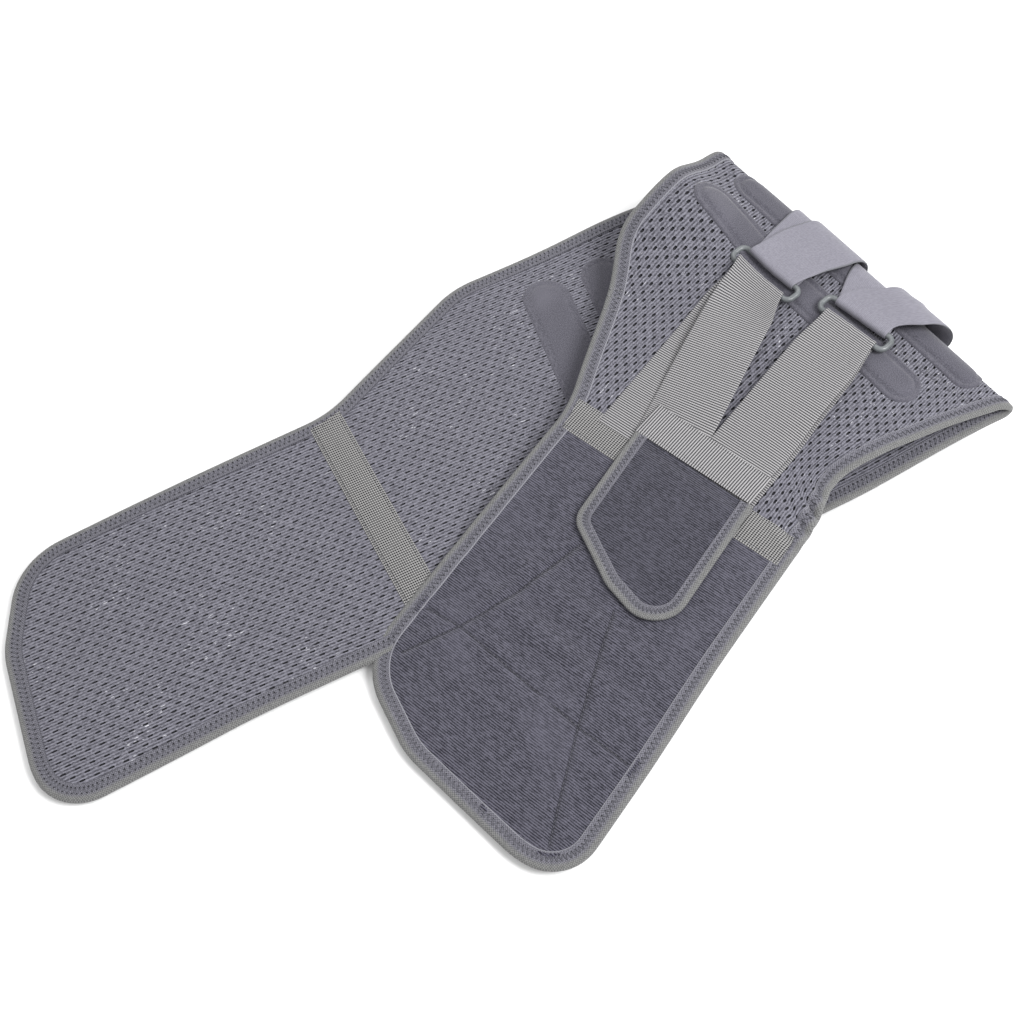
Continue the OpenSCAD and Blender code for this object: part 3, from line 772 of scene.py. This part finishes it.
def tape(name, path, closed, width, low, high, side, material):
    """Binding tape folded over an edge. path is its outer edge, on the pattern."""
    inward = path_frame(path, closed)
    n = len(path)
    at = np.concatenate([[0], np.cumsum(np.linalg.norm(np.diff(path, axis=0), axis=1))])
    middle, half = (low + high) / 2, (high - low) / 2
    round_edge = [(half * (1 - math.sin(t)), middle + half * math.cos(t))
                  for t in np.linspace(0, math.pi, 9)]
    section = [(width, high - 0.55), (width - 0.2, high + 0.12), (width - 1.0, high + 0.12),
               (width - 1.7, high - 0.18), (width * 0.6, high - 0.12), (width * 0.38, high + 0.05)]
    section += round_edge
    section += [(d, low + high - h) for d, h in section[:6][::-1]]
    d = np.array([p[0] for p in section])[None, :]
    h = np.array([p[1] for p in section])[None, :]
    pucker = 0.16 * np.sin(at * 2 * math.pi / 3.4)[:, None] * np.sin(np.pi * d / width)
    h = h + np.sign(h - middle) * pucker
    uv = path[:, None, :] + inward[:, None, :] * d[..., None]
    a, b = plane(side * uv[..., 0], uv[..., 1])
    points = on_cloth(a, b, h).reshape(-1, 3)
    m = len(section)
    faces = []
    last = n if closed else n - 1
    for i in range(last):
        j = (i + 1) % n
        for k in range(m):
            q = (k + 1) % m
            faces.append([i * m + k, j * m + k, j * m + q, i * m + q])
    if not closed:
        faces.append(list(range(m)))
        faces.append([(n - 1) * m + k for k in range(m)][::-1])
    if side < 0:
        faces = [f[::-1] for f in faces]
    marks = np.stack([np.broadcast_to(at[:, None], (n, m)),
                      np.broadcast_to(d, (n, m)), h], -1).reshape(-1, 3)
    return piece(name, points, faces, marks, material), a, b


def threads(name, segments, heights, radius, side, material):
    """Sewn stitches: segments is (n, 2 ends, 2), each a thread that dips in at both ends."""
    steps = np.array([0, 0.18, 0.5, 0.82, 1])
    lift = np.array([-0.5, 0.08, 0.2, 0.08, -0.5])
    start, end = segments[:, 0, None, :], segments[:, 1, None, :]
    centre = start + (end - start) * steps[None, :, None]
    along = segments[:, 1] - segments[:, 0]
    along /= np.linalg.norm(along, axis=1, keepdims=True)
    across = np.stack([-along[:, 1], along[:, 0]], 1)[:, None, None, :]
    spin = np.arange(4) * math.pi / 2
    uv = centre[:, :, None, :] + across * (radius * np.cos(spin))[None, None, :, None]
    h = np.asarray(heights)[:, None, None] + lift[None, :, None]
    h = h + (radius * np.sin(spin))[None, None, :]
    a, b = plane(side * uv[..., 0], uv[..., 1])
    points = on_cloth(a, b, np.broadcast_to(h, a.shape)).reshape(-1, 3)
    n = len(segments)
    base = (np.arange(n) * 20)[:, None]
    faces = []
    for i in range(4):
        for k in range(4):
            q = (k + 1) % 4
            face = np.array([i * 4 + k, i * 4 + q, i * 4 + 4 + q, i * 4 + 4 + k])
            faces += (base + face).tolist()
    faces += (base + np.array([3, 2, 1, 0])).tolist()
    faces += (base + np.array([16, 17, 18, 19])).tolist()
    rise = np.broadcast_to(lift[None, :, None], a.shape)
    marks = np.stack([uv[..., 0], uv[..., 1], rise], -1).reshape(-1, 3)
    return piece(name, points, faces, marks, material), a, b


def zigzag(path, closed, near, far, pitch):
    """Stitches to and fro along a path, between two distances inside it."""
    points = evenly(path, pitch / 2, closed)
    inward = path_frame(points, closed)
    depth = np.where(np.arange(len(points)) % 2 == 0, near, far)[:, None]
    line = points + inward * depth
    return np.stack([line[:-1], line[1:]], 1)


def running(line, pitch, share=0.72):
    """Straight stitches along a line, with gaps."""
    points = evenly(np.array(line, float), pitch, False)
    run = points[1:] - points[:-1]
    return np.stack([points[:-1], points[:-1] + run * share], 1)


# where rows of stitches cross the tape's joint, along the upper half
JOINT_AT = (220, 224, 233)


def make_edge():
    path = evenly(belt_outline, 1.1)
    bound, a, b = tape("edge_binding", path, True, BINDING_W, -EDGE_H, EDGE_H, 1, BINDING)
    fold_blend(bound, a, b)
    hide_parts("lower_binding", "upper_binding", "fold_top_binding",
                "fold_bottom_binding")
    stitches = zigzag(belt_outline, True, 4.4, 8.6, 3.4)
    for face, height in (("outer", EDGE_H), ("inner", -EDGE_H - 0.1)):
        heights = np.full(len(stitches), height)
        sewn, a, b = threads(f"edge_stitches_{face}", stitches, heights, 0.27, 1, DARK_THREAD)
        fold_blend(sewn, a, b)
    # the tape's two ends are sewn over each other, between the crest and the flap
    path = evenly(half_outline, 1.0, False)
    inward = path_frame(path, False)
    seams = []
    for at in JOINT_AT:
        i = int(np.argmin(np.abs(path[:, 0] - at) + 1000 * (path[:, 1] < 0)))
        across = [path[i] + inward[i] * d for d in (0.8, BINDING_W - 0.6)]
        seams.append(running(across, 2.4, 0.85))
    seams = np.vstack(seams)
    sewn, _, _ = threads("binding_joint_stitches", seams, np.full(len(seams), HALF_T + 0.5), 0.3,
                         UPPER, GREY_THREAD)
    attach(sewn, "upper_wing")


# ---------- pockets and patches over the stays ----------


def oval(name, side, line, height, floor, sign, material, width=POCKET_W):
    """A long oval of velour with a sewn rim. sign is 1 outside and -1 on the inner face."""
    start, end = np.array(line[0], float), np.array(line[1], float)
    run = end - start
    length = np.linalg.norm(run)
    along = run / length
    across = np.array([-along[1], along[0]])
    r = width / 2
    cap = r * (1 - np.cos(np.linspace(0, math.pi / 2, 16)))
    t = np.concatenate([cap - r, np.linspace(0, length, 90)[1:-1], (length + r - cap)[::-1]])
    out = np.maximum(np.maximum(-t, t - length), 0)
    half = np.sqrt(np.maximum(r * r - out * out, 0.02))
    w = np.sin(np.linspace(-math.pi / 2, math.pi / 2, 31))
    tt = np.repeat(t[:, None], len(w), 1)
    ww = half[:, None] * w[None, :]
    depth = r - np.hypot(np.maximum(np.maximum(-tt, tt - length), 0), ww)
    rise = height - floor
    top = floor + rise * (0.5 * smooth(depth, -0.3, 1.0) + 0.5 * smooth(depth, 4.2, 7.5))
    top = top - 0.35 * rise * bump(depth, 4.0, 0.8) + 0.03
    uv = start + along * tt[..., None] + across * ww[..., None]
    a, b = plane(side * uv[..., 0], uv[..., 1])
    return slab(name, a, b, sign * top, sign * (floor - 0.3), material, (uv[..., 0], uv[..., 1]))


def cover_stay(obj, side, place):
    """The upper half's centre stay lies where the belt folds and is not attached to a wing; the
    others go with their half's wing.
    """
    if side == LOWER or place == "side":
        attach(obj, f"{SIDE_NAME[side]}_wing")
        return
    marks = np.zeros(len(obj.data.vertices) * 3, np.float32)
    obj.data.attributes["pattern"].data.foreach_get("vector", marks)
    u, v, _ = marks.reshape(-1, 3).T
    fold_blend(obj, *plane(side * u, v))


def make_pockets():
    for side in (LOWER, UPPER):
        name = SIDE_NAME[side]
        for place, line in STAYS.items():
            covers = (("pocket", line, POCKET_H, 1, POCKET_W),
                      ("patch", PATCHES[place], HALF_T + 0.7, -1, PATCH_W))
            for kind, middle, height, sign, width in covers:
                obj = oval(f"{name}_{place}_{kind}_cover", side, middle, height, HALF_T, sign,
                           POCKET, width)
                cover_stay(obj, side, place)
                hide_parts(f"{name}_{place}_{kind}")
            stay = oval(f"{name}_{place}_strip", side, line, HALF_T + 1.1, HALF_T + 0.4, 1, STAY,
                        STAY_W)
            cover_stay(stay, side, place)
            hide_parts(f"{name}_{place}_stay")


# ---------- webbing and elastic ----------


def strap_rows(start, end, profile, thick, slants=(0, 0), rib=0.0, step=1.0, columns=17,
               gather=(0, 0), lateral=None, slack=0.0, ridge=None):
    """A strap as rows of points, from a side view of (distance from start, height).

    slants are how far its cross lines lean at the start and the end, and gather is how much
    narrower it is there. Returns a dict with its two faces' points, marks and places.
    """
    start, end = np.array(start, float), np.array(end, float)
    run = np.linalg.norm(end - start)
    along = (end - start) / run
    across = np.array([-along[1], along[0]])
    line = evenly(np.array(profile, float), step, False)
    tangent = np.gradient(line, axis=0)
    tangent /= np.linalg.norm(tangent, axis=1, keepdims=True)
    normal = np.stack([-tangent[:, 1], tangent[:, 0]], 1)
    at = np.concatenate([[0], np.cumsum(np.linalg.norm(np.diff(line, axis=0), axis=1))])
    from_start, to_end = line[:, 0], run - line[:, 0]
    narrow = gather[0] * (1 - smooth(from_start, 2, 34)) + gather[1] * (1 - smooth(to_end, 2, 34))
    w = np.sin(np.linspace(-math.pi / 2, math.pi / 2, columns))[None, :]
    w = w * (STRAP_W - narrow[:, None]) / 2
    edge = smooth(np.abs(w[:, :1]) - np.abs(w), -0.2, 0.8)
    half = (0.25 + 0.75 * edge) * thick / 2
    if rib:
        half = half * (1 + 0.2 * np.cos(at * 2 * math.pi / rib))[:, None]
    pleat = 0.3 * np.cos(w * 2 * math.pi / 6.5) * narrow[:, None] / 5
    lean = slants[0] * (1 - smooth(from_start, 0, 45)) + slants[1] * (1 - smooth(to_end, 0, 45))
    faces = {"at": at, "t": line[:, 0], "points": [], "marks": [], "places": []}
    for sign in (1, -1):
        t = line[:, 0, None] + sign * normal[:, 0, None] * half
        h = line[:, 1, None] + sign * normal[:, 1, None] * half + pleat
        y = w + (0 if lateral is None else lateral(t))
        uv = start + along * (t + w * lean[:, None])[..., None] + across * y[..., None]
        h = h + slack * fold_bump(fold_grid(uv[..., 0], uv[..., 1])[0])
        if ridge is not None:
            h = h + ridge(t, w)
        faces["points"].append(on_cloth(uv[..., 0], uv[..., 1], h))
        faces["marks"].append(np.stack([np.broadcast_to(at[:, None], t.shape),
                                        np.broadcast_to(w, t.shape), h], -1))
        faces["places"].append(uv)
    faces["share"] = (np.stack(faces["places"]) - start) @ along / run
    return faces


def strap_piece(name, rows, first, last, material):
    """Rows first to last of a strap as a closed piece."""
    cut = slice(first, last + 1)
    points = np.vstack([p[cut].reshape(-1, 3) for p in rows["points"]])
    marks = np.vstack([m[cut].reshape(-1, 3) for m in rows["marks"]])
    n, columns = last + 1 - first, rows["points"][0].shape[1]
    return piece(name, points, slab_faces(n, columns), marks, material, rim_of(n, columns))


def lean_along(bar, along):
    """How a strap's cross lines lean when they lie along a bar."""
    return float(bar @ along / (bar @ np.array([-along[1], along[0]])))


def arc(centre_t, radius, first, last, n=9):
    """Points of a strap's turn round a bar, by its angle in the side view, in degrees."""
    turn = np.radians(np.linspace(first, last, n))
    return [(centre_t + radius * math.cos(x), ROD_H + radius * math.sin(x)) for x in turn]


def ring_bar(side, ring, way):
    """Middle and direction of a ring's bar, the front one for way 1 and the rear one for -1."""
    turn = math.radians(RING_TURN[ring])
    middle = np.array([side * RING_AT[ring][0], RING_AT[ring][1]])
    out = side * np.array([math.cos(turn), side * math.sin(turn)])
    return middle + way * RING_MID * out, np.array([-side * math.sin(turn), math.cos(turn)])


def webbing_layer(side, ring, kind, end_uv, side_view):
    """One layer of webbing from a ring's front bar to a place on the pattern."""
    name = SIDE_NAME[side]
    tip_turn = FLAP_TURN if side == UPPER else 0
    seam = np.array([math.sin(tip_turn), math.cos(tip_turn)])
    front, bar = ring_bar(side, ring, 1)
    end = np.array(plane(side * end_uv[0], end_uv[1]), float)
    run = np.linalg.norm(end - front)
    slants = [lean_along(x, (end - front) / run) for x in (bar, seam)]
    rows = strap_rows(front, end, side_view(run), WEBBING_T, slants, RIB, 0.4, gather=(5, 0))
    strap = strap_piece(f"{name}_{kind}_webbing_{ring}", rows, 0, len(rows["t"]) - 1, WEBBING)
    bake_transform(strap)
    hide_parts(f"{name}_{kind}_strap_{ring}")
    return strap, rows["share"], run


def make_pull(side):
    """The pull webbing of one half: the fixed and the moving layers, and the cross band."""
    name = SIDE_NAME[side]
    low_h = HALF_T + 0.6
    fixed_u = SEAM_U - SEAM_STRIP_W / 2 + 6

    def fixed_view(run):
        return [(-0.5, UNDER_H), (30, UNDER_H), (60, low_h + 0.5), (run - 14, low_h), (run, low_h)]

    for ring in RING_AT:
        end_h = BAND_H - 1.75 if ring == "a" else BAND_H - 0.75

        def moving_view(run, end_h=end_h):
            return [(2.5, ROD_H - WEBBING_TURN_R)] + arc(0, WEBBING_TURN_R, 270, 90) + [
                (14, ROD_H + WEBBING_TURN_R), (run * 0.45, ROD_H + 1.1), (run - 30, end_h + 0.3),
                (run, end_h)]

        strap, share, _ = webbing_layer(side, ring, "anchor", (fixed_u, ANCHOR_END[ring]),
                                        fixed_view)
        strap, share, run = webbing_layer(side, ring, "pull", (TAB_U - 1.5, PULL_END[ring]),
                                          moving_view)

    u = np.linspace(BAND_U, TAB_U, 60)
    v = np.linspace(BAND_BOTTOM, BAND_TOP, 120)
    uu, vv = np.meshgrid(u, v, indexing="ij")
    edge = np.minimum.reduce([uu - BAND_U, TAB_U - uu, vv - BAND_BOTTOM, BAND_TOP - vv])
    top = BAND_H + 0.45 * smooth(edge, -0.3, 1.0) - 0.35 * bump(edge, 2.4, 0.6)
    a, b = plane(side * uu, vv)
    band = slab(f"{name}_pull_cross_band", a, b, top, BAND_H - 0.35, WEBBING, (vv, uu))
    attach(band, f"{name}_pull")
    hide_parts(f"{name}_pull_band")


def make_seam_strips():
    u = np.linspace(SEAM_U - SEAM_STRIP_W / 2, SEAM_U + SEAM_STRIP_W / 2, 40)
    for side in (LOWER, UPPER):
        name = SIDE_NAME[side]
        low, high = column_range(half_outline, u)
        t = np.linspace(0, 1, 160)[None, :]
        vv = (low + 6)[:, None] * (1 - t) + (high - 6)[:, None] * t
        uu = np.repeat(u[:, None], vv.shape[1], 1)
        edge = np.minimum(uu - u[0], u[-1] - uu)
        rise = 0.8 * smooth(edge, -0.3, 0.8) - 0.3 * bump(edge, 2.2, 0.6)
        a, b = plane(side * uu, vv)
        for face, sign in (("outer", 1), ("inner", -1)):
            obj = slab(f"{name}_{face}_seam_webbing", a, b, sign * (HALF_T + rise),
                       sign * (HALF_T - 0.3), STRIP, (vv, uu))
            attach(obj, f"{name}_wing")
            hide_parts(f"{name}_{face}_seam_strip")


def fold_bump(s):
    t = np.clip((s + 6) / (FOLD_LEN + 26), 0, 1)
    return np.sin(math.pi * t) ** 2


LAYER = 1.4
# name: lower ring, upper ring, over the lower ring, over the upper ring, layer, slack, lean
BACK_STRAPS = {
    "back_strap_a": ("a", "a", True, False, 1, 1, 0),
    "back_strap_b": ("b", "b", False, True, 1, 4.5, 27),
    "cross_strap_a": ("b", "a", True, True, 2, 2, 5),
    "cross_strap_b": ("a", "b", False, False, 0, 1, 0),
}


def make_back_strap(name, low_ring, high_ring, low_over, high_over, layer, slack, lean):
    """One layer of elastic from a lower ring over the fold to an upper ring, in three runs."""
    ends, bars = [], []
    for side, ring in ((LOWER, low_ring), (UPPER, high_ring)):
        rear, bar = ring_bar(side, ring, -1)
        ends.append(rear)
        bars.append(bar)
    low, high = ends
    length = np.linalg.norm(high - low)
    along = (high - low) / length

    def s_at(t):
        return fold_grid(*(low + along * np.asarray(t)[..., None]).T)[0]

    def lateral(t):
        return -lean * fold_bump(s_at(t.T))

    t = np.linspace(0, length, 200)
    h0 = OVER_H if low_over else UNDER_H
    h1 = OVER_H if high_over else UNDER_H
    mid_h = UNDER_H + layer * LAYER
    h = h0 + (mid_h - h0) * smooth(t / length, 0.02, 0.24)
    h = np.where(t > length / 2, mid_h + (h1 - mid_h) * smooth(t / length, 0.76, 0.98), h)
    profile = list(zip(t, h))
    if low_over:
        profile = arc(0, ELASTIC_TURN_R, -90, -270) + profile[1:]
    if high_over:
        profile = profile[:-1] + arc(length, ELASTIC_TURN_R, 90, -90)

    def ridge(t, w):
        rise = smooth(t, 0.45 * length, 0.7 * length)
        return 1.1 * bump(w, 6, 3.0) * rise * (1 - smooth(t, length - 8, length - 2))

    rows = strap_rows(low, high, profile, ELASTIC_T, [lean_along(x, along) for x in bars],
                      gather=(4, 4), lateral=lateral, slack=slack,
                      ridge=ridge if name == "back_strap_b" else None)
    s = np.stack([fold_grid(p[..., 0], p[..., 1])[0] for p in rows["places"]])
    last = len(rows["t"]) - 1
    first_cut = max(i for i in range(last) if s[:, :i + 1].max() < -0.5)
    second_cut = min(i for i in range(last) if s[:, i:].min() > FOLD_LEN + 0.5)
    cuts = (0, first_cut, second_cut, last)
    for k, run in enumerate(("lower", "fold", "upper")):
        first, end = cuts[k], cuts[k + 1]
        obj = strap_piece(f"{name}_{run}_run", rows, first, end, ELASTIC)
        places = np.stack([p[first:end + 1] for p in rows["places"]])
        if run == "fold":
            fold_blend(obj, places[..., 0].ravel(), places[..., 1].ravel())
            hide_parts(name)
        elif run == "lower":
            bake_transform(obj)
        else:
            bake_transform(obj)


# ---------- pull tabs and hook pads ----------


def make_tab(side):
    name = SIDE_NAME[side]
    # its end by the cross band isn't bound, so it isn't inset there
    wide_tab = tab_outline - (2.2, 0) * (tab_outline[:, :1] < TAB_U + 1)
    u, v = area_grid(wide_tab, 2.0, 1.2, 74)
    edge = edge_distance(u, v, tab_outline)
    top = TAB_TOP_H - 1.0 + 1.0 * smooth(edge, 3, 12) + 0.25 * bump(v + 0.25 * (u - 340), -42, 16)
    a, b = plane(side * u, v)
    face = slab(f"{name}_tab_velour", a, b, top, TAB_H + 1.05, TAB_VELOUR, (u, v))
    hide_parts(f"{name}_tab_face")
    u, v = area_grid(tab_outline, 6.0, 2.0, 40)
    a, b = plane(side * u, v)
    hook = slab(f"{name}_tab_hooks", a, b, TAB_H + 1.0, TAB_H, HOOK, (u, v))
    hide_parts(f"{name}_tab_hook_pad")
    path = evenly(tab_outline, 1.0, False)
    bound, _, _ = tape(f"{name}_tab_edge", path, False, 9.0, TAB_H + 0.25, TAB_TOP_H + 0.2, side,
                       BINDING)
    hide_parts(f"{name}_tab_binding")
    stitches = zigzag(tab_outline, False, 3.6, 7.2, 3.2)
    heights = np.full(len(stitches), TAB_TOP_H + 0.22)
    sewn, _, _ = threads(f"{name}_tab_stitches", stitches, heights, 0.25, side, DARK_THREAD)
    for obj in (face, hook, bound, sewn):
        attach(obj, f"{name}_tab")


def make_hook_pad():
    u, v = area_grid(hook_outline, 0.3, 2.0, 60)
    edge = edge_distance(u, v, hook_outline)
    rise = 1.2 * smooth(edge, -0.3, 1.2) - 0.4 * bump(edge, 3, 0.8)
    a, b = plane(u, v)
    pad = slab("closure_hooks", a, b, -HALF_T - rise, -HALF_T + 0.3, HOOK, (u, v))
    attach(pad, "upper_wing")
    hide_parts("closure_hook_pad")


def make_sewing():
    """Straight stitches on the flaps' velour and the seam strips."""
    for side in (LOWER, UPPER):
        name = SIDE_NAME[side]
        seams = np.vstack([running(line, 3.2) for line in SEWN_LINES])
        sewn, _, _ = threads(f"{name}_flap_stitches", seams, np.full(len(seams), HALF_T - 0.55),
                             0.24, side, DARK_THREAD)
        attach(sewn, f"{name}_wing")
        left, right = SEAM_U - SEAM_STRIP_W / 2 + 2.2, SEAM_U + SEAM_STRIP_W / 2 - 2.2
        lines = [[(x, -FLAP_BOTTOM + 9), (x, FLAP_TOP - 7)] for x in (left, right)]
        seams = np.vstack([running(line, 2.8) for line in lines])
        for face, height in (("outer", HALF_T + 0.5), ("inner", -HALF_T - 0.6)):
            sewn, _, _ = threads(f"{name}_{face}_seam_stitches", seams,
                                 np.full(len(seams), height), 0.24, side, GREY_THREAD)
            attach(sewn, f"{name}_wing")


make_cloth()
make_velour()
make_edge()
make_pockets()
make_seam_strips()
for which in (LOWER, UPPER):
    make_pull(which)
    make_tab(which)
for strap_name, facts in BACK_STRAPS.items():
    make_back_strap(strap_name, *facts)
make_hook_pad()
make_sewing()

for node_name, node in frame["nodes"].items():
    if "_ring_" in node_name:
        node.data.materials.clear()
        node.data.materials.append(RING)

# ---------- floor, lights and camera ----------


def make_floor():
    mesh = bpy.data.meshes.new("floor")
    size = 6.0
    mesh.from_pydata([(-size, -size, 0), (size, -size, 0), (size, size, 0), (-size, size, 0)], [],
                     [(0, 1, 2, 3)])
    floor = bpy.data.objects.new("floor", mesh)
    floor.location.z = -0.0005
    bpy.context.scene.collection.objects.link(floor)
    material = bpy.data.materials.new("floor")
    material.use_nodes = True
    shader = material.node_tree.nodes["Principled BSDF"]
    shader.inputs["Base Color"].default_value = (0.93, 0.93, 0.93, 1)
    shader.inputs["Roughness"].default_value = 0.9
    shader.inputs["Specular IOR Level"].default_value = 0.1
    mesh.materials.append(material)


def make_light(name, place, target, size, power):
    data = bpy.data.lights.new(name, "AREA")
    data.shape = "DISK"
    data.size = size
    data.energy = power
    light = bpy.data.objects.new(name, data)
    bpy.context.scene.collection.objects.link(light)
    light.location = place
    aim(light, target)


def aim(obj, target):
    direction = Vector(target) - obj.location
    obj.rotation_euler = direction.to_track_quat("-Z", "Y").to_euler()


CAMERA_AZIMUTH = 323.6
CAMERA_ELEVATION = 58
CAMERA_DISTANCE = 0.92
CAMERA_TARGET = (0.0102, 0.0210, 0)


def from_camera_side(azimuth, elevation, distance):
    """A point round the target, by azimuth and elevation in degrees."""
    a, e = math.radians(azimuth), math.radians(elevation)
    flat = distance * math.cos(e)
    x, y, z = CAMERA_TARGET
    return (x + flat * math.sin(a), y - flat * math.cos(a), z + distance * math.sin(e))


make_floor()
make_light("key", from_camera_side(35, 52, 1.7), CAMERA_TARGET, 0.9, 31)
make_light("fill", from_camera_side(280, 50, 1.9), CAMERA_TARGET, 1.8, 8)
make_light("back", from_camera_side(150, 50, 1.9), CAMERA_TARGET, 1.6, 12)
world = bpy.data.worlds.new("world")
world.use_nodes = True
world.node_tree.nodes["Background"].inputs["Color"].default_value = (1, 1, 1, 1)
world.node_tree.nodes["Background"].inputs["Strength"].default_value = 0.6
bpy.context.scene.world = world
bpy.context.scene.view_settings.view_transform = "Standard"

camera_data = bpy.data.cameras.new("camera")
camera_data.lens = 50
camera_data.sensor_width = 36
camera = bpy.data.objects.new("camera", camera_data)
bpy.context.scene.collection.objects.link(camera)
camera.location = from_camera_side(CAMERA_AZIMUTH, CAMERA_ELEVATION, CAMERA_DISTANCE)
aim(camera, CAMERA_TARGET)
bpy.context.scene.camera = camera
